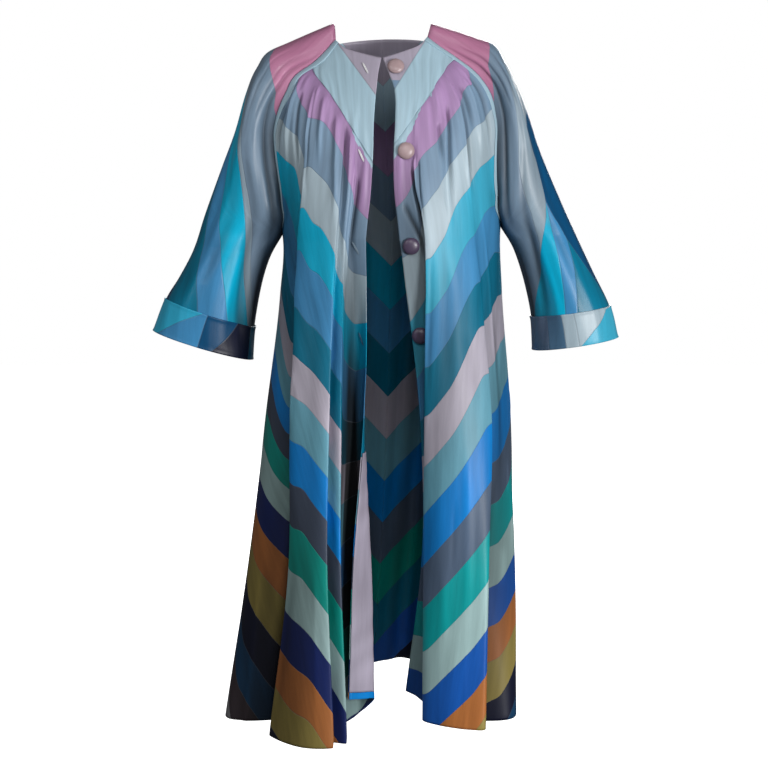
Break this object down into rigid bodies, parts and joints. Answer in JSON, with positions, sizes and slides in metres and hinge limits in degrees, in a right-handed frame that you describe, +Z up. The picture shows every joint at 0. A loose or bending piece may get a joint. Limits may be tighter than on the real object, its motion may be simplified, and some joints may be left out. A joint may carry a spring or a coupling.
{
  "type": "duster coat",
  "caption": "Long open-front patchwork silk duster coat with raglan sleeves, turned-up cuffs, gathered fronts and covered buttons, filled out as if worn.",
  "frame": {"origin": "middle of the neck base, between the wearer's shoulders, which carry the coat", "axes": "+Z up, the fronts face -Y, and the wearer's right side lies towards -X"},
  "size_m": [0.8464, 0.5189, 1.253],
  "materials": {
    "patchwork_front_right": "silk taffeta, slanting patchwork bands from mauve through blues and greens to copper and navy",
    "patchwork_front_left": "silk taffeta, slanting patchwork bands from mauve through blues and greens to copper and navy",
    "patchwork_yoke_right": "silk taffeta, pale blue with a lilac-grey corner",
    "patchwork_yoke_left": "silk taffeta, pale blue with a lilac-grey corner",
    "patchwork_back_right": "silk taffeta, slanting patchwork bands",
    "patchwork_back_left": "silk taffeta, slanting patchwork bands",
    "patchwork_sleeve_right": "silk taffeta, patchwork bands along the sleeve",
    "patchwork_sleeve_left": "silk taffeta, patchwork bands along the sleeve",
    "patchwork_cuff_right": "silk taffeta, slanting patchwork bands",
    "patchwork_cuff_left": "silk taffeta, slanting patchwork bands",
    "pale_blue_silk": "silk taffeta",
    "lilac_silk": "dull silk",
    "blue_silk": "silk taffeta",
    "covered_rose": "silk over a domed button",
    "covered_plum": "silk over a domed button"
  },
  "bodies": {
    "root": {"front_right": "patchwork_front_right", "front_left": "patchwork_front_left", "yoke_right": "patchwork_yoke_right", "yoke_left": "patchwork_yoke_left", "back_right": "patchwork_back_right", "back_left": "patchwork_back_left", "sleeve_right": "patchwork_sleeve_right", "sleeve_left": "patchwork_sleeve_left", "cuff_right": "patchwork_cuff_right", "cuff_left": "patchwork_cuff_left", "raglan_band_right": "pale_blue_silk", "raglan_band_left": "pale_blue_silk", "front_facing_right": "lilac_silk", "hem_turn_up_right": "blue_silk", "button_1": "covered_rose", "button_2": "covered_rose", "button_3": "covered_plum", "button_4": "covered_plum"}
  },
  "joints": []
}
